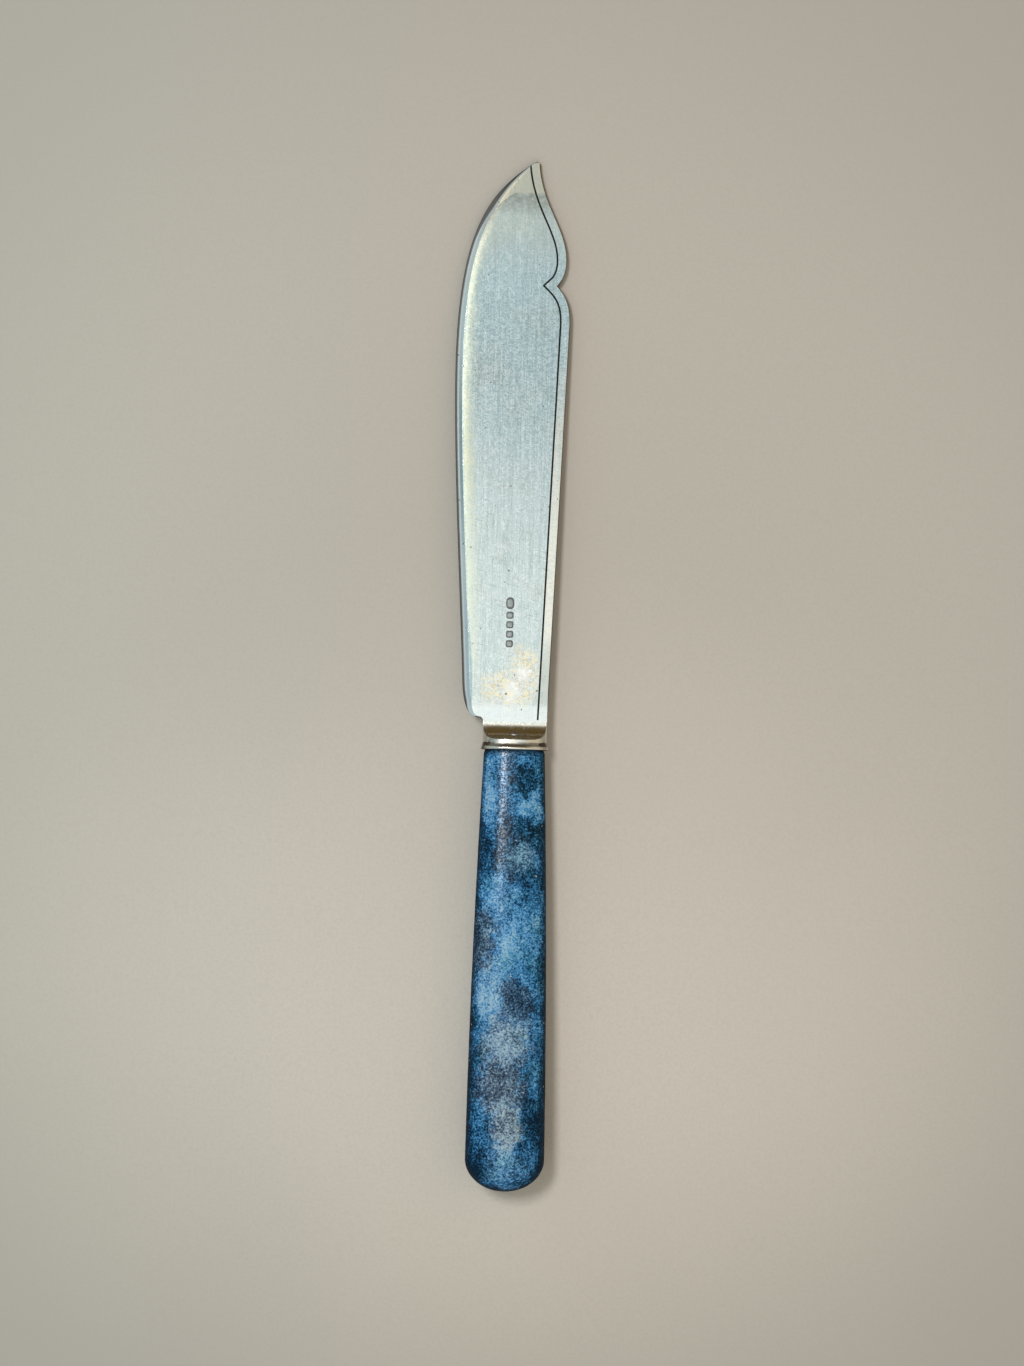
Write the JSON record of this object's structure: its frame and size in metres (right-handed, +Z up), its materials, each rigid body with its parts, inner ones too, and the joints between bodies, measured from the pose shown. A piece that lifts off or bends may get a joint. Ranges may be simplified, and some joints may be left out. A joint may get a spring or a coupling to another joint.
{
  "type": "fish knife",
  "caption": "Table fish knife: broad flat silver blade with a notched back, engraved line and blunt bevelled edge, coved oval bolster, flared collar and tapered mottled blue handle.",
  "frame": {"origin": "on the table top, under the middle of the knife's bounding box, with the knife lying on its flat side", "axes": "+Z up from the table, +Y from the butt of the handle to the tip of the blade, +X towards the notched back of the blade"},
  "size_m": [0.0228, 0.2058, 0.0124],
  "materials": {
    "silver": "worn silver, finely scratched",
    "tang_steel": "forged, dull",
    "cement": "dull resin",
    "handle": "mottled blue, worn polish"
  },
  "bodies": {
    "root": {"blade": "silver", "bolster": "silver", "collar": "silver", "tang": "tang_steel", "tang_cement": "cement", "handle": "handle"}
  },
  "joints": []
}
